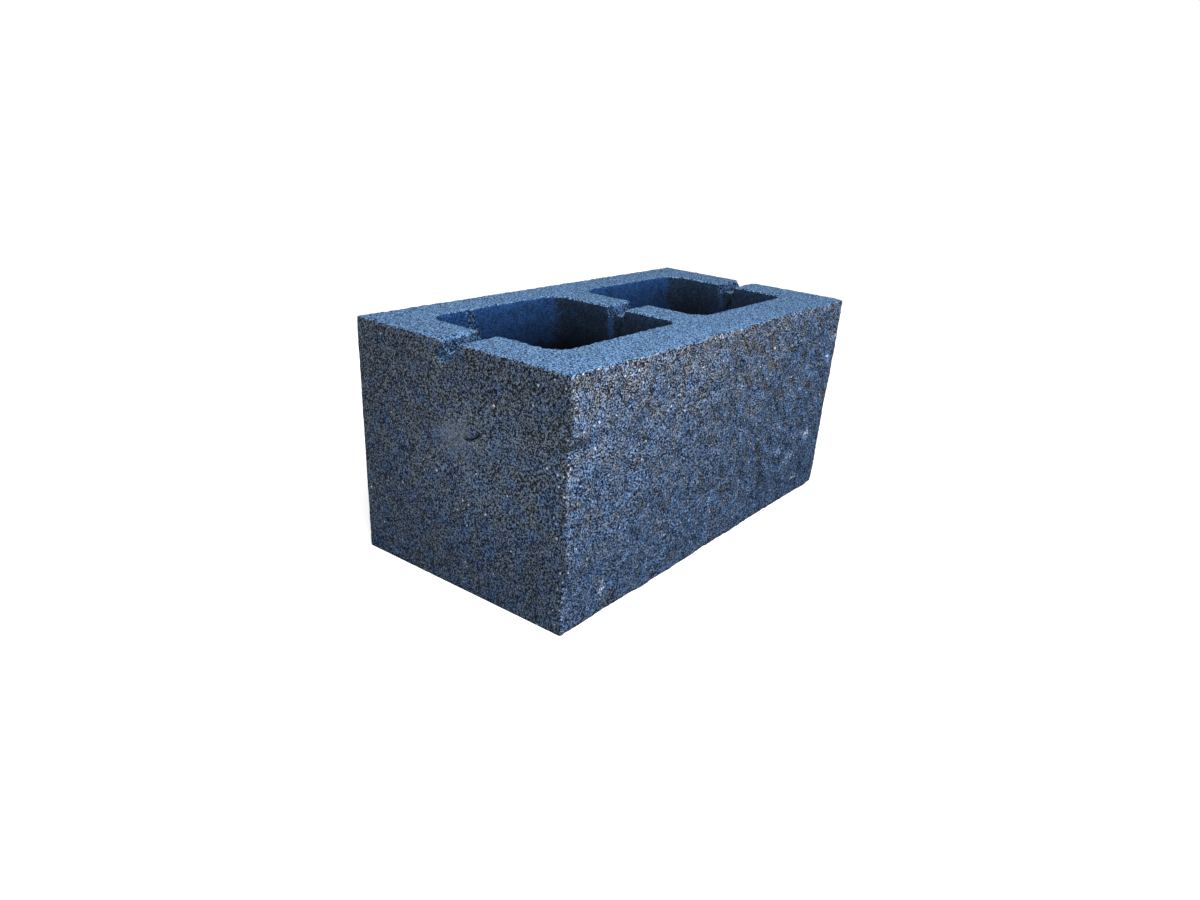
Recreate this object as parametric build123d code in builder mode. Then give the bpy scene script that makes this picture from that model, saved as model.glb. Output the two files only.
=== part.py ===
from build123d import *
import os
from math import cos, exp, pi

# Split-face two-core hollow block, pressed from dry concrete in a steel mould.
# X runs along the block, Y from the split face to the back, Z up.
# The origin is the middle of the underside. Millimetres.

# Body
length = 390.0
depth = 193.0              # back face to the mean plane of the split face
height = 178.0
arris = 1.0                # rounding that the mould leaves on the moulded edges

# Cores, sized at the top bed, where the webs are thinnest
end_web = 37.5
middle_web = 32.5
back_shell = 31.0
front_shell = 42.0
core_corner = 15.0
core_draft = 0.9           # degrees that each wall thickens downwards

# Notches that the core bars leave across the top of every web
notch_width = 19.0
notch_floor = 5.0
notch_depth = 7.5

# Tapered flutes that the core bars' gussets leave below each notch, on the core side of a web
flute_width = 17.0
flute_reach = 9.0          # into the web, at the top bed
flute_height = 42.0
flute_toe = 1.5            # width and reach left at the bottom of the flute

# Relief of the split face: long waves that cross it, each with its height and its runs along X and Z
relief_waves = [
    (0.9, 260.0, 170.0, 1.6),
    (0.6, 120.0, -95.0, 4.2),
    (0.45, 70.0, 150.0, 3.7),
    (0.45, 34.0, 240.0, 5.6),
    (0.3, 31.0, 38.0, 0.8),
]
# Bosses and hollows where the break ran round coarse stone: middle X, middle Z, reach, height.
# The first two are what is left of the left-hand arris between its spalls.
relief_lumps = [
    (-195.0, 148.0, 15.0, 4.6),
    (-195.0, 55.0, 17.0, 4.0),
    (-120.0, 95.0, 24.0, 1.2),
    (-60.0, 45.0, 28.0, -1.2),
    (-15.0, 130.0, 24.0, 1.2),
    (50.0, 70.0, 30.0, 1.3),
    (110.0, 125.0, 22.0, -1.2),
    (140.0, 45.0, 20.0, 1.2),
]
relief_spacing = 10.0      # between the points that carry the split surface
relief_overrun = 10.0      # of the split surface past the block's own edges
split_allowance = 15.0     # of the moulded body that the splitter breaks away

core_length = (length - 2 * end_web - middle_web) / 2
core_width = depth - front_shell - back_shell
core_x = (middle_web + core_length) / 2
core_y = (front_shell - back_shell) / 2
web_faces = [side * core_x + end * core_length / 2 for side in (-1, 1) for end in (-1, 1)]


def relief(x, z):
    """Height of the split face over its mean plane at a place on it."""
    waves = sum(h * cos(2 * pi * (x / run_x + z / run_z) + turn) for h, run_x, run_z, turn in relief_waves)
    lumps = sum(
        h * exp(-((x - lx) ** 2 + (z - lz) ** 2) / reach**2) for lx, lz, reach, h in relief_lumps
    )
    return waves + lumps


def stations(low, high):
    """Evenly spaced places from just before low to just past high."""
    start = low - relief_overrun
    span = high - low + 2 * relief_overrun
    steps = round(span / relief_spacing)
    return [start + span * i / steps for i in range(steps + 1)]


profiles = [
    Wire([Spline(*[(x, -depth / 2 - relief(x, z), z) for z in stations(0, height)])])
    for x in stations(-length / 2, length / 2)
]
broken_face = Shell.make_loft(profiles)

with BuildPart() as concrete_block:
    # Moulded body, deeper than the finished block by what the splitter breaks off
    with BuildSketch(Plane.XY):
        with Locations((0, -split_allowance / 2)):
            Rectangle(length, depth + split_allowance)
    extrude(amount=height)
    fillet(concrete_block.edges().filter_by(Axis.Z).group_by(Axis.Y)[-1], radius=arris)

    # Two cores, drawn down through the block with their draft
    with BuildSketch(Plane.XY.offset(height)):
        with Locations((-core_x, core_y), (core_x, core_y)):
            RectangleRounded(core_length, core_width, core_corner)
    extrude(amount=-height, taper=core_draft, mode=Mode.SUBTRACT)

    # Notch across the top of all three webs
    with BuildSketch(Plane.YZ.offset(-length / 2)):
        with BuildLine():
            Polyline(
                (core_y - notch_width / 2, height),
                (core_y - notch_floor / 2, height - notch_depth),
                (core_y + notch_floor / 2, height - notch_depth),
                (core_y + notch_width / 2, height),
                close=True,
            )
        make_face()
    extrude(amount=length, mode=Mode.SUBTRACT)

    # Tapered flute under the notch, on the core side of each web
    for face_x in web_faces:
        with BuildSketch(Plane.XY.offset(height)):
            with Locations((face_x, core_y)):
                Rectangle(2 * flute_reach, flute_width)
        with BuildSketch(Plane.XY.offset(height - flute_height)):
            with Locations((face_x, core_y)):
                Rectangle(2 * flute_toe, flute_toe)
        loft(mode=Mode.SUBTRACT)

    # Broken face
    split(bisect_by=broken_face, keep=Keep.TOP)

concrete_block.part.label = "concrete_block"

os.makedirs("parts", exist_ok=True)
export_step(concrete_block.part, "parts/concrete_block.step")
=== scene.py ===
import math

import bpy
import numpy as np
from mathutils import Matrix, Vector


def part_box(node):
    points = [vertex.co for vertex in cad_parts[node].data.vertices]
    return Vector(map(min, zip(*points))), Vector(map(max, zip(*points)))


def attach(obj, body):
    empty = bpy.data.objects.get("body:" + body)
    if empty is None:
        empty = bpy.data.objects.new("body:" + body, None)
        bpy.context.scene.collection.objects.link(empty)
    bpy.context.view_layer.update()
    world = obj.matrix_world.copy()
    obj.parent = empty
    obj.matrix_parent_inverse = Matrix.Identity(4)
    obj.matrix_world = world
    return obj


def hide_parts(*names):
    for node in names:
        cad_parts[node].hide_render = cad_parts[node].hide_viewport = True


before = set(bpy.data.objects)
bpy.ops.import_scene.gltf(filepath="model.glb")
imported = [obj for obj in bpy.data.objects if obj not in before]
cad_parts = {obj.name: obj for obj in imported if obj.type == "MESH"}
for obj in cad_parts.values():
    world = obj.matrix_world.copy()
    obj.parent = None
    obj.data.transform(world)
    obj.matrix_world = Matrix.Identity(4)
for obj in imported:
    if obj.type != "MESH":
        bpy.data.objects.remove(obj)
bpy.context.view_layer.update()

# Block body. The real block is pressed from damp charcoal concrete in a steel mould, tamped from
# above, and cracked off its neighbour along the front. A copy of the solid is remeshed at about
# the size of its coarser grains, so that each face can be roughened in its own way.
MM = 0.001
BLOCK = "concrete_block"
GRAIN_MESH = 1.1 * MM
TRIANGLES = 190000
NOTCH_Y = 5.5 * MM
NOTCH_REACH = 10.5 * MM
NOTCH_DEPTH = 9 * MM
FLUTE_DEPTH = 45 * MM
SPLIT_DEPTH = 12 * MM
CORE_RIGHT_WALLS = (-16 * MM, 157 * MM)

low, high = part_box(BLOCK)
half_length = high.x
back_y = high.y
top_z = high.z


def deselect_all():
    """Leaves nothing selected and nothing active."""
    bpy.ops.object.select_all(action="DESELECT")
    bpy.context.view_layer.objects.active = None


def make_active(piece):
    """Selects one piece alone."""
    deselect_all()
    piece.select_set(True)
    bpy.context.view_layer.objects.active = piece


def finish_with(piece, kind, **settings):
    """Adds a modifier of that kind and applies it at once."""
    modifier = piece.modifiers.new(kind.lower(), kind)
    for name, value in settings.items():
        setattr(modifier, name, value)
    make_active(piece)
    bpy.ops.object.modifier_apply(modifier=modifier.name)


def vertex_rows(piece, field="co"):
    """The places or the normals of a mesh's vertices, one row for each."""
    source = piece.data.vertices if field == "co" else piece.data.vertex_normals
    values = np.empty(len(piece.data.vertices) * 3, np.float32)
    source.foreach_get("co" if field == "co" else "vector", values)
    return values.reshape(-1, 3)


def keep_inside_box(piece):
    """Holds every vertex inside the solid's own box."""
    rows = np.clip(vertex_rows(piece), np.array(low), np.array(high))
    piece.data.vertices.foreach_set("co", rows.ravel())


def ramp(values, start, end):
    """A smooth step from 0 at start to 1 at end."""
    share = np.clip((values - start) / (end - start), 0, 1)
    return share * share * (3 - 2 * share)


def mark_region(piece, name, weights, levels=20):
    """Keeps a weight for each vertex as a vertex group, in even steps."""
    group = piece.vertex_groups.new(name=name)
    steps = np.rint(weights * levels).astype(int)
    for step in range(1, levels + 1):
        group.add(np.flatnonzero(steps == step).tolist(), step / levels, "REPLACE")


def widen_region(piece, name, rounds):
    """Spreads a vertex group outwards by that many rounds of smoothing."""
    piece.vertex_groups.active_index = piece.vertex_groups[name].index
    make_active(piece)
    bpy.ops.object.mode_set(mode="EDIT")
    bpy.ops.mesh.select_all(action="SELECT")
    bpy.ops.object.vertex_group_smooth(group_select_mode="ACTIVE", factor=1.0, repeat=rounds, expand=0.6)
    bpy.ops.object.mode_set(mode="OBJECT")


def roughen(piece, region, grain, depth, proud=0.5, detail=2):
    """Displaces one region by cloud noise of a grain size and a depth.

    Proud is the share of the depth that stands above the face, and detail is the noise's number of octaves.
    """
    clouds = bpy.data.textures.new(f"{region}_{grain / MM:g}_mm", "CLOUDS")
    clouds.noise_scale = grain
    clouds.noise_depth = detail
    finish_with(
        piece, "DISPLACE", texture=clouds, texture_coords="LOCAL", strength=depth,
        mid_level=1 - proud, vertex_group=region,
    )


block = bpy.data.objects.new("split_face_block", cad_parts[BLOCK].data.copy())
bpy.context.scene.collection.objects.link(block)
make_active(block)
bpy.ops.object.mode_set(mode="EDIT")
bpy.ops.mesh.select_all(action="SELECT")
bpy.ops.mesh.remove_doubles(threshold=0.01 * MM)
bpy.ops.object.mode_set(mode="OBJECT")
finish_with(block, "REMESH", mode="VOXEL", voxel_size=GRAIN_MESH, use_smooth_shade=True)

# Regions of the surface, each by its place and the way it faces
place = vertex_rows(block)
normal = vertex_rows(block, "normal")
front_y = low.y + SPLIT_DEPTH
outside = (
    (np.abs(place[:, 0]) > half_length - 2 * MM)
    | (place[:, 1] > back_y - 2 * MM)
    | (place[:, 2] < 1.5 * MM)
)
split = ramp(-normal[:, 1], 0.35, 0.7) * (place[:, 1] < front_y)
bed = ramp(normal[:, 2], 0.5, 0.8) * (place[:, 2] > top_z - 1.5 * MM)
beside_notch = np.abs(place[:, 1] - NOTCH_Y) < NOTCH_REACH
in_notch = (place[:, 2] > top_z - NOTCH_DEPTH) * beside_notch
notch = in_notch * (1 - bed) * (np.abs(normal[:, 0]) < 0.8)
moulded = outside * (1 - split) * (1 - bed) * (1 - notch)
core = (1 - outside) * (1 - split) * (1 - bed) * (1 - notch)
flute = core * beside_notch * (place[:, 2] > top_z - FLUTE_DEPTH)
rim = (np.abs(normal[:, 2]) > 0.2) * (np.abs(normal[:, 2]) < 0.93) * (place[:, 2] > top_z - 4 * MM)
brink = bed * ramp(-place[:, 1], -low.y - 22 * MM, -low.y - 10 * MM)
inner_split = split * ramp(half_length - place[:, 0], 2 * MM, 22 * MM) * ramp(place[:, 2], 1 * MM, 20 * MM)
regions = {
    "split": split, "inner_split": inner_split, "bed": bed, "brink": brink, "notch": notch,
    "moulded": moulded, "core": core, "rim": rim.astype(float),
}
for name, weights in regions.items():
    mark_region(block, name, weights)
widen_region(block, "rim", 4)


def around(x_or_y, z, middle, reach):
    """A soft round patch, 1 at its middle and 0.37 at its reach."""
    return np.exp(-(((x_or_y - middle[0]) / reach[0]) ** 2) - ((z - middle[1]) / reach[1]) ** 2)


# Pale grains show where the split broke the arrises open, most along two stretches of the near one. Each
# stretch has the height of its middle and its reach.
OPEN_STRETCHES = [(112 * MM, 20 * MM), (24 * MM, 24 * MM)]
left_gap = place[:, 0] + half_length
top_gap = top_z - place[:, 2]
at_end = left_gap < 1.5 * MM
at_split = place[:, 1] < front_y + 2 * MM
along_left = np.exp(-((left_gap / (2.5 * MM)) ** 2)) * (
    0.2 + 0.6 * sum(np.abs(place[:, 2] - middle) < reach for middle, reach in OPEN_STRETCHES)
)
along_top = np.exp(-((top_gap / (2 * MM)) ** 2)) * 0.14
arris = np.clip(along_left * at_split + along_top * (at_split + at_end), 0, 1)

# A smooth smear of paste on the left end, and a short curved crack beside it
smear = at_end * around(place[:, 1], place[:, 2], (2 * MM, 114 * MM), (15 * MM, 10 * MM))
crack_z = 115.6 * MM + 0.041 / MM * (place[:, 1] + 9 * MM) ** 2
crack = at_end * (np.abs(place[:, 2] - crack_z) < 0.85 * MM) * (np.abs(place[:, 1] + 15 * MM) < 6.5 * MM)
mark_region(block, "crack", crack.astype(float))

# A honeycombed streak wanders down the back wall of the left core
streak_x = -112 * MM + 2.5 * MM * np.cos(place[:, 2] / (5 * MM))
streak_x += 1.5 * MM * np.cos(place[:, 2] / (1.7 * MM))
streak = core * (normal[:, 1] < -0.5) * np.exp(-(((place[:, 0] - streak_x) / (5 * MM)) ** 2))
mark_region(block, "streak", streak)

# The split runs over two small ledges at the near arris, and its right part in faint, broken ridges that
# fall to the right. Each run crosses the ridges at its own angle, so that they come and go.
LEDGES_Z = (136 * MM, 44 * MM)
RIDGE_RUNS = [(14 * MM, 50, 0.0), (19 * MM, 68, 2.1), (11 * MM, 36, 4.4), (25 * MM, 28, 1.2)]


def waves(run, angle, turn):
    """Even waves over the split, each one run long, at an angle in degrees to its length."""
    tilt = np.radians(angle)
    return np.cos(math.tau * (place[:, 0] * np.cos(tilt) + place[:, 2] * np.sin(tilt)) / run + turn)


ledges = sum(
    1.3 * ramp(place[:, 2], z - 1 * MM, z + 1 * MM) * ramp(-place[:, 2], -z - 12 * MM, -z - 4 * MM)
    - 0.9 * ramp(place[:, 2], z - 14 * MM, z - 6 * MM) * ramp(-place[:, 2], 1 * MM - z, 3 * MM - z)
    for z in LEDGES_Z
)
ridges = 0.5 * ramp(place[:, 0], -120 * MM, 100 * MM) * sum(waves(*run) for run in RIDGE_RUNS)
shift = ledges * np.exp(-left_gap / (22 * MM)) + 0.7 * ridges * ramp(half_length - place[:, 0], 0, 12 * MM)
place[:, 1] -= shift * MM * split

# The break ran straighter along the foot and down the right end
mean_y = place[split > 0.5, 1].mean()
by_edge = np.maximum(
    ramp(place[:, 0] - half_length, -25 * MM, -2 * MM), ramp(-place[:, 2], -25 * MM, -2 * MM)
)
place[:, 1] += 0.75 * (mean_y - place[:, 1]) * by_edge * split

# The lip of the notch on the left end is chipped into a small bowl that slopes down and outwards
lip = around(place[:, 1], place[:, 2], (11 * MM, 169 * MM), (7 * MM, 6 * MM))
lip *= np.exp(-((left_gap / (5 * MM)) ** 2))
place[:, 0] += 3 * MM * lip
place[:, 2] -= 2.5 * MM * lip
block.data.vertices.foreach_set("co", place.ravel())
mark_region(block, "lip", lip)

# The split was scuffed down to pale grains in a few places, each with its middle and reach in millimetres
# along the block and up it
SCUFFS = [
    ((-9, 36), (3, 7)), ((102, 54), (5, 3)), ((127, 42), (7, 5)), ((162, 58), (6, 4)), ((144, 17), (7, 2)),
    ((188, 145), (5, 3)), ((181, 127), (4, 3)), ((-152, 20), (4, 6)),
]
scuffs = split * sum(
    around(place[:, 0] / MM, place[:, 2] / MM, middle, reach) for middle, reach in SCUFFS
)
arris = np.clip(arris + 0.55 * scuffs, 0, 1)

# Inside the cores, the shells are bluer than the webs and the corners beside them, as painted sky light and
# shade. Outside, the film thickens toward the foot, and on the split also toward the right end; the split's
# ridges are bluer as painted sky light, and the strip under its top edge is less blue.
up_share = np.clip(place[:, 2] / top_z, 0, 1)
web_gap = np.where(place[:, 0] < 0, *CORE_RIGHT_WALLS) - place[:, 0]
web = np.maximum(ramp(np.abs(normal[:, 0]), 0, 1), 0.5 * np.exp(-np.abs(web_gap) / (18 * MM)))
top_strip = split * ramp(place[:, 2], top_z - 20 * MM, top_z - 6 * MM)
lit_side = normal[:, 1] < -0.25
film = (
    core * (0.14 - 0.32 * web) - 0.02 * flute * lit_side
    + (0.14 * split + 0.1 * moulded) * (0.5 - up_share)
    + split * (0.03 * ridges - 0.03 * top_strip + 0.05 * ramp(place[:, 0], 0, 190 * MM))
)

# Painted shade darkens the crack, the cores from a little below their rims, the webs and the left core a
# little more, the sides of the flutes that face the back, the left end away from its middle, and the bowl
# and the broken side of the notch. The split is darker toward its foot, partly as painted shade and partly
# as damp, and the bed is a little darker toward its left edge. Painted light makes the split paler near its
# left top corner and on its ridges, and it is also paler under its top edge and on its scuffs, which are
# wear.
bowl = lip > 0.4
near_corner = np.exp(-left_gap / (140 * MM)) * up_share
end_middle = at_end * around(place[:, 1], place[:, 2], (-25 * MM, 97 * MM), (75 * MM, 62 * MM))
painted_shading_and_wear = (
    crack + core * np.minimum(4.6 * (1 - up_share) - 0.2, 0.86) + 0.7 * flute * (normal[:, 1] > 0.25)
    + core * (0.06 * (place[:, 0] < 0) + 0.06 * web)
    + split * (0.05 + 0.3 * (1 - up_share) - 0.14 * near_corner + 0.04 * ramp(left_gap, 0, 0.3))
    - split * (0.1 * top_strip + 0.1 * ridges) - 0.9 * scuffs
    + moulded * at_end * (0.18 + 0.12 * (1 - up_share) + 0.1 * ramp(up_share, 0.7, 1) - 0.38 * end_middle)
    + 0.06 * bed * np.exp(-left_gap / (60 * MM)) + 0.25 * np.maximum(bowl, notch * lit_side)
)
for name, values in {"arris": arris, "smear": smear, "film": film, "painted_shading_and_wear": np.minimum(painted_shading_and_wear, 0.95)}.items():
    shares = block.data.attributes.new(name, "FLOAT", "POINT")
    shares.data.foreach_set("value", values.astype(np.float32))

# The split and the broken edges are coarse, the tamped bed is finer, and the steel mould left the sides
# nearly flat. Along the edges and in the streak most of the relief is cut in, because grains fell out.
roughen(block, "inner_split", 16 * MM, 4.0 * MM)
roughen(block, "inner_split", 5 * MM, 1.4 * MM)
roughen(block, "split", 3.5 * MM, 1.4 * MM)
roughen(block, "streak", 3 * MM, 3.5 * MM, proud=0.3)
finish_with(block, "DISPLACE", strength=-1.5 * MM, mid_level=0.0, vertex_group="crack")
roughen(block, "bed", 4 * MM, 0.8 * MM)
roughen(block, "brink", 3 * MM, 1.0 * MM, proud=0.3)
roughen(block, "notch", 3.5 * MM, 1.8 * MM, detail=3)
roughen(block, "lip", 2.5 * MM, 2.4 * MM, proud=0.3)
roughen(block, "moulded", 4 * MM, 0.6 * MM, detail=3)
roughen(block, "core", 9 * MM, 0.5 * MM, detail=3)
roughen(block, "rim", 3 * MM, 2.2 * MM, proud=0.3)
keep_inside_box(block)

# The surface that owns each face, in the order of the finishes below
# The broken side of the notch is given a darker finish than its other side, partly as painted shade.
crumbled_and_shaded = np.maximum(notch * lit_side * (1 - bowl), 2 * (streak > 0.4))
tamped = np.maximum.reduce([bed, notch * (1 - lit_side), bowl])
surfaces = [split, tamped, crumbled_and_shaded, moulded * (1 - bowl), core]
owner = np.argmax(np.stack(surfaces), axis=0)
corners = np.empty(len(block.data.polygons) * 4, np.int32)
block.data.polygons.foreach_get("vertices", corners)
kinds = owner[corners.reshape(-1, 4)[:, 0]].astype(np.int32)


def linear(hex_colour):
    """An sRGB hex colour as linear RGBA."""
    shares = [int(hex_colour[i:i + 2], 16) / 255 for i in (1, 3, 5)]
    return [s / 12.92 if s <= 0.04045 else ((s + 0.055) / 1.055) ** 2.4 for s in shares] + [1.0]


def add_node(tree, kind, inputs=None, **settings):
    """Adds a node with its settings and its inputs, each a value or the output that feeds it."""
    node = tree.nodes.new(kind)
    for name, value in settings.items():
        setattr(node, name, value)
    for socket, value in (inputs or {}).items():
        if isinstance(value, bpy.types.NodeSocket):
            tree.links.new(value, node.inputs[socket])
        else:
            node.inputs[socket].default_value = value
    return node


# Dry-cast concrete is a lean mix of sand and small stones, with too little paste to fill every gap. So it
# is matt and open, and its grains stand out pale against pits drawn near black as painted shade. A film
# lies over it in patches, and its blue is partly painted sky light. Much of its sand is finer than half a
# millimetre, which the render couldn't show, so it is drawn at 0.8 to 1 mm.
PATCH = 9 * MM
FILM_PATCH = 11 * MM
STONE = 1.8 * MM
PIT_SHADE, SMEAR_COLOUR, STONE_COLOUR = "#06080C", "#6E7680", "#E6EEFA"


def concrete(name, paste, film, film_share, pits, grain, relief, stones=0.0, broken=0.0):
    """Dry-cast concrete: rounded sand grains in grey paste, a bluish film in soft patches, uneven pits.

    Paste and film each give a dark and a light shade, and the film's blue is partly painted sky light. Pits
    are drawn near black and the creases between grains darker, as painted shade. Film share, pits and
    stones are about the shares of the face that they take, and broken is the share of pale grains on an
    arris that broke open. Grain is the width of a grain, and relief the height of the bump that grains and
    pits make.
    """
    material = bpy.data.materials.new(name)
    material.use_nodes = True
    tree = material.node_tree
    tree.nodes.clear()
    where = add_node(tree, "ShaderNodeTexCoord").outputs["Object"]

    # Fine noise shades the paste and bends the lattice that the grains come from, so that none is regular
    fine_run = 1.6 * grain
    fine = add_node(
        tree, "ShaderNodeTexNoise",
        {"Vector": where, "Scale": 1 / fine_run, "Detail": 3.0, "Roughness": 0.65},
    )
    bend = add_node(
        tree, "ShaderNodeVectorMath",
        {0: fine.outputs["Color"], 1: [fine_run] * 3, 2: where}, operation="MULTIPLY_ADD",
    )
    grains = add_node(tree, "ShaderNodeTexVoronoi", {"Vector": bend.outputs[0], "Scale": 1 / grain})
    chance = add_node(tree, "ShaderNodeSeparateColor", {"Color": grains.outputs["Color"]})
    dome = add_node(
        tree, "ShaderNodeMapRange",
        {"Value": grains.outputs["Distance"], "From Min": 0.2, "From Max": 0.85, "To Min": 1.0,
         "To Max": 0.0},
        interpolation_type="SMOOTHSTEP",
    )
    mottle = add_node(
        tree, "ShaderNodeTexNoise",
        {"Vector": where, "Scale": 1 / PATCH, "Detail": 6.0, "Roughness": 0.8},
    )

    # A grain is palest on its crown and darker toward the creases around it, which is painted light and
    # shade. Each source of shade is about 0.5 on average, so the sum is centred on 0.5 whatever the weights
    # are.
    shades = [
        (dome.outputs["Result"], 0.6),
        (chance.outputs["Red"], 1.8),
        (fine.outputs["Fac"], 5.6),
        (mottle.outputs["Fac"], 2.6),
    ]
    level = 0.5 - 0.5 * sum(share for _, share in shades)
    for shade, share in shades:
        level = add_node(
            tree, "ShaderNodeMath", {0: shade, 1: share, 2: level}, operation="MULTIPLY_ADD"
        ).outputs[0]

    # The film lies in soft patches, and single grains keep or lose it
    clouds = add_node(
        tree, "ShaderNodeTexNoise",
        {"Vector": where, "Scale": 1 / FILM_PATCH, "Detail": 6.0, "Roughness": 0.75},
    )
    single = add_node(
        tree, "ShaderNodeMath", {0: chance.outputs["Blue"], 1: 0.1, 2: clouds.outputs["Fac"]},
        operation="MULTIPLY_ADD",
    )
    lie = add_node(tree, "ShaderNodeAttribute", attribute_name="film")
    cover = add_node(tree, "ShaderNodeMath", {0: single.outputs[0], 1: lie.outputs["Fac"]}, operation="ADD")
    middle = 0.55 + 0.4 * (0.5 - film_share)
    filmed = add_node(
        tree, "ShaderNodeMapRange",
        {"Value": cover.outputs[0], "From Min": middle - 0.13, "From Max": middle + 0.13},
    )
    tones = [
        add_node(
            tree, "ShaderNodeMix", {"Factor": level, 6: linear(dark), 7: linear(light)},
            data_type="RGBA",
        )
        for dark, light in (paste, film)
    ]
    tone = add_node(
        tree, "ShaderNodeMix",
        {"Factor": filmed.outputs["Result"], 6: tones[0].outputs[2], 7: tones[1].outputs[2]},
        data_type="RGBA",
    )

    # Pits between the grains, drawn near black as painted shade, wider and closer together in open patches,
    # and filled in under a smear
    openness = add_node(
        tree, "ShaderNodeTexNoise",
        {"Vector": where, "Scale": 1 / PATCH, "Detail": 3.0, "Roughness": 0.6},
    )
    limit = add_node(
        tree, "ShaderNodeMapRange",
        {"Value": openness.outputs["Fac"], "From Min": 0.35, "From Max": 0.65, "To Min": 0.3 + 0.3 * pits,
         "To Max": 0.3 + 0.9 * pits},
    )
    smear = add_node(tree, "ShaderNodeAttribute", attribute_name="smear")
    closed = add_node(
        tree, "ShaderNodeMath", {0: smear.outputs["Fac"], 1: -0.2, 2: limit.outputs["Result"]},
        operation="MULTIPLY_ADD",
    )
    open_noise = add_node(
        tree, "ShaderNodeTexNoise",
        {"Vector": where, "Scale": 1 / (1.5 * grain), "Detail": 2.0, "Roughness": 0.6},
    )
    above = add_node(
        tree, "ShaderNodeMath", {0: open_noise.outputs["Fac"], 1: closed.outputs[0]}, operation="SUBTRACT"
    )
    pit = add_node(
        tree, "ShaderNodeMapRange",
        {"Value": above.outputs[0], "From Min": -0.03, "From Max": 0.03, "To Min": 0.9, "To Max": 0.0},
        interpolation_type="SMOOTHSTEP",
    )
    pitted = add_node(
        tree, "ShaderNodeMix",
        {"Factor": pit.outputs["Result"], 6: tone.outputs[2], 7: linear(PIT_SHADE)}, data_type="RGBA",
    )
    smeared = add_node(tree, "ShaderNodeMath", {0: smear.outputs["Fac"], 1: 0.45}, operation="MULTIPLY")
    smoothed = add_node(
        tree, "ShaderNodeMix",
        {"Factor": smeared.outputs[0], 6: pitted.outputs[2], 7: linear(SMEAR_COLOUR)}, data_type="RGBA",
    )

    # Pale stones of uneven size, and pale grains where an arris broke open or the split was scuffed
    gravel = add_node(tree, "ShaderNodeTexVoronoi", {"Vector": bend.outputs[0], "Scale": 1 / STONE})
    pick = add_node(tree, "ShaderNodeSeparateColor", {"Color": gravel.outputs["Color"]})
    rare = add_node(
        tree, "ShaderNodeMath", {0: pick.outputs["Green"], 1: 1 - stones}, operation="GREATER_THAN"
    )
    edge = add_node(tree, "ShaderNodeAttribute", attribute_name="arris")
    near = add_node(tree, "ShaderNodeMath", {0: edge.outputs["Fac"], 1: broken}, operation="MULTIPLY")
    opened = add_node(
        tree, "ShaderNodeMath", {0: near.outputs[0], 1: pick.outputs["Red"]}, operation="GREATER_THAN"
    )
    either = add_node(
        tree, "ShaderNodeMath", {0: rare.outputs[0], 1: opened.outputs[0]}, operation="MAXIMUM"
    )
    size = add_node(
        tree, "ShaderNodeMath", {0: pick.outputs["Blue"], 1: 0.35, 2: 0.2}, operation="MULTIPLY_ADD"
    )
    small = add_node(
        tree, "ShaderNodeMath", {0: gravel.outputs["Distance"], 1: size.outputs[0]}, operation="LESS_THAN"
    )
    shown = add_node(
        tree, "ShaderNodeMath", {0: either.outputs[0], 1: small.outputs[0]}, operation="MULTIPLY"
    )
    stony = add_node(
        tree, "ShaderNodeMix",
        {"Factor": shown.outputs[0], 6: smoothed.outputs[2], 7: linear(STONE_COLOUR)}, data_type="RGBA",
    )

    # Painted shade darkens the places that the attribute marks, and painted light and scuffs make others
    # paler
    painted_shading_and_wear = add_node(tree, "ShaderNodeAttribute", attribute_name="painted_shading_and_wear")
    left_over = add_node(tree, "ShaderNodeMath", {0: 1.0, 1: painted_shading_and_wear.outputs["Fac"]}, operation="SUBTRACT")
    colour = add_node(
        tree, "ShaderNodeVectorMath", {0: stony.outputs[2], "Scale": left_over.outputs[0]},
        operation="SCALE",
    )

    # Grains stand up, pits go in, and the dry surface is matt with next to no sheen
    raised = add_node(
        tree, "ShaderNodeMath", {0: dome.outputs["Result"], 1: 0.5, 2: fine.outputs["Fac"]},
        operation="MULTIPLY_ADD",
    )
    height = add_node(
        tree, "ShaderNodeMath", {0: raised.outputs[0], 1: pit.outputs["Result"]}, operation="SUBTRACT"
    )
    bump = add_node(
        tree, "ShaderNodeBump", {"Height": height.outputs[0], "Distance": relief, "Strength": 1.0}
    )
    surface = add_node(
        tree, "ShaderNodeBsdfPrincipled",
        {"Base Color": colour.outputs[0], "Roughness": 0.9, "IOR": 1.5, "Specular IOR Level": 0.08,
         "Normal": bump.outputs["Normal"]},
    )
    add_node(tree, "ShaderNodeOutputMaterial", {"Surface": surface.outputs["BSDF"]})
    return material


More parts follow.
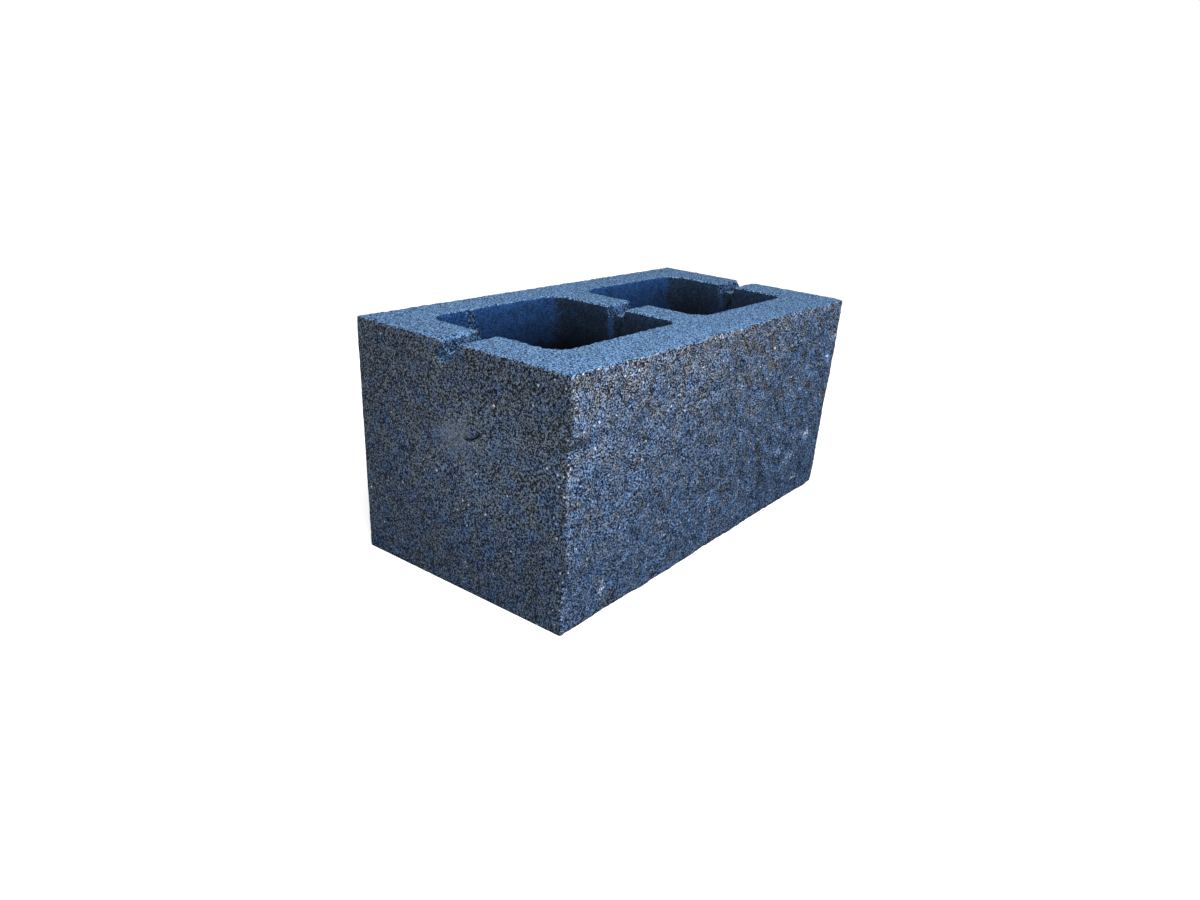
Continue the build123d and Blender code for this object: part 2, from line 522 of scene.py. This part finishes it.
finishes = [
    # Split concrete: broken open by the splitter, so it is the coarsest and palest, with cut stones in it
    concrete(
        "split_concrete", paste=("#1C1F25", "#B2B8C2"), film=("#122E5C", "#92BCF4"), film_share=0.62,
        pits=0.26, grain=0.8 * MM, relief=0.6 * MM, stones=0.024, broken=1.0,
    ),
    # Tamped concrete: beaten flat by the press head, so its film is even and its grains are pressed level
    concrete(
        "tamped_concrete", paste=("#163254", "#7EA5CE"), film=("#183864", "#7AA5D4"), film_share=0.5,
        pits=0.2, grain=0.8 * MM, relief=0.5 * MM,
    ),
    # Crumbled concrete: its grains came loose or were never packed, so it is deep and open. Its dark shades
    # are partly painted shade, for the broken side of the notch.
    concrete(
        "crumbled_and_shaded_concrete", paste=("#15253F", "#5C7CA4"), film=("#11233D", "#567EB2"), film_share=0.5,
        pits=0.24, grain=1.0 * MM, relief=0.7 * MM,
    ),
    # Moulded concrete: dragged along the steel as the mould lifted, so it is flat, dark and finely pitted
    concrete(
        "moulded_concrete", paste=("#0C1018", "#8A98A9"), film=("#0C1E3A", "#688CC2"), film_share=0.38,
        pits=0.23, grain=0.8 * MM, relief=0.6 * MM, stones=0.006, broken=0.06,
    ),
    # Core concrete: slicked with paste as the mould's cores were drawn, so it is closed and smooth. Its
    # dark shades are partly painted shade of the deep cores.
    concrete(
        "shaded_core_concrete", paste=("#111D2C", "#253448"), film=("#102E58", "#2B5086"), film_share=0.5,
        pits=0.05, grain=0.8 * MM, relief=0.25 * MM,
    ),
]
block.data.materials.clear()
for finish in finishes:
    block.data.materials.append(finish)
block.data.polygons.foreach_set("material_index", kinds)
finish_with(block, "DECIMATE", ratio=TRIANGLES / (2 * len(block.data.polygons)))
keep_inside_box(block)
bpy.ops.object.shade_smooth()

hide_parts(BLOCK)
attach(block, "root")

# Floor. A level studio floor painted matt white, on which the block stands unheld. It is white to the
# camera except for the block's soft shadow, and the light that it throws back is that of a mid grey.
FLOOR_SIZE = 60
deselect_all()
bpy.ops.mesh.primitive_plane_add(size=FLOOR_SIZE)
floor = bpy.context.object
floor.name = "studio_floor"


def seen_rays(tree):
    """1 for the rays that show the backdrop as a picture: straight, mirrored or refracted ones."""
    rays = add_node(tree, "ShaderNodeLightPath")
    bent = add_node(
        tree, "ShaderNodeMath",
        {0: rays.outputs["Is Glossy Ray"], 1: rays.outputs["Is Transmission Ray"]}, operation="MAXIMUM",
    )
    seen = add_node(
        tree, "ShaderNodeMath", {0: rays.outputs["Is Camera Ray"], 1: bent.outputs[0]}, operation="MAXIMUM"
    )
    return seen.outputs[0]


paint = bpy.data.materials.new("matt_white_floor")
paint.use_nodes = True
tree = paint.node_tree
tree.nodes.clear()
matt = add_node(tree, "ShaderNodeBsdfDiffuse", {"Color": linear("#747474")})
pale = add_node(tree, "ShaderNodeBsdfDiffuse", {"Color": linear("#F4F4F4")})
glow = add_node(tree, "ShaderNodeEmission", {"Color": linear("#FFFFFF"), "Strength": 0.48})
lifted = add_node(tree, "ShaderNodeAddShader", {0: pale.outputs[0], 1: glow.outputs[0]})
shown = add_node(
    tree, "ShaderNodeMixShader", {0: seen_rays(tree), 1: matt.outputs[0], 2: lifted.outputs[0]}
)
add_node(tree, "ShaderNodeOutputMaterial", {"Surface": shown.outputs[0]})
floor.data.materials.append(paint)

# Light. An even white room lights every side, and one large soft lamp above the near front corner, out
# of the camera's sight, makes the bed the palest face.
LAMP_SPOT = Vector((-0.35, -0.45, 0.8))
LAMP_SIZE = 0.4
LAMP_WATTS = 8.75

world = bpy.data.worlds.new("white_room")
world.use_nodes = True
tree = world.node_tree
tree.nodes.clear()
strength = add_node(tree, "ShaderNodeMapRange", {"Value": seen_rays(tree), "To Min": 0.65, "To Max": 1.0})
room = add_node(
    tree, "ShaderNodeBackground", {"Color": linear("#FFFFFF"), "Strength": strength.outputs["Result"]}
)
add_node(tree, "ShaderNodeOutputWorld", {"Surface": room.outputs[0]})
bpy.context.scene.world = world

data = bpy.data.lights.new("high_lamp", "AREA")
data.shape = "SQUARE"
data.size = LAMP_SIZE
data.energy = LAMP_WATTS
lamp = bpy.data.objects.new("high_lamp", data)
bpy.context.scene.collection.objects.link(lamp)
lamp.location = LAMP_SPOT
lamp.rotation_euler = (LAMP_SPOT - Vector((0, 0, top_z / 2))).to_track_quat("Z", "Y").to_euler()
lamp.visible_camera = False

# Camera. It stands where the photo was taken from: the block's corners and core rims fix its place. Its
# axis meets the picture a little below the middle, which the lens shift gives.
CAMERA_SPOT = Vector((-569.6, -394.6, 313.1)) * MM
CAMERA_AZIMUTH, CAMERA_ELEVATION, CAMERA_ROLL = (math.radians(a) for a in (-55.2, 26.6, 4.4))
FRAME_WIDTH, FRAME_HEIGHT = 1200, 900
FOCAL_PIXELS = 849.4
AXIS_PIXEL = (613.7, 541.9)

data = bpy.data.cameras.new("photo_camera")
data.sensor_width = 36
data.lens = FOCAL_PIXELS * data.sensor_width / FRAME_WIDTH
data.shift_x = (FRAME_WIDTH / 2 - AXIS_PIXEL[0]) / FRAME_WIDTH
data.shift_y = (AXIS_PIXEL[1] - FRAME_HEIGHT / 2) / FRAME_WIDTH
data.clip_start = 0.02
camera = bpy.data.objects.new("photo_camera", data)
bpy.context.scene.collection.objects.link(camera)
back = Vector((
    math.sin(CAMERA_AZIMUTH) * math.cos(CAMERA_ELEVATION),
    -math.cos(CAMERA_AZIMUTH) * math.cos(CAMERA_ELEVATION),
    math.sin(CAMERA_ELEVATION),
))
level_view = (-back).to_track_quat("-Z", "Y").to_matrix().to_4x4()
camera.matrix_world = Matrix.Translation(CAMERA_SPOT) @ level_view @ Matrix.Rotation(CAMERA_ROLL, 4, "Z")
bpy.context.scene.camera = camera
bpy.context.scene.view_settings.view_transform = "Standard"
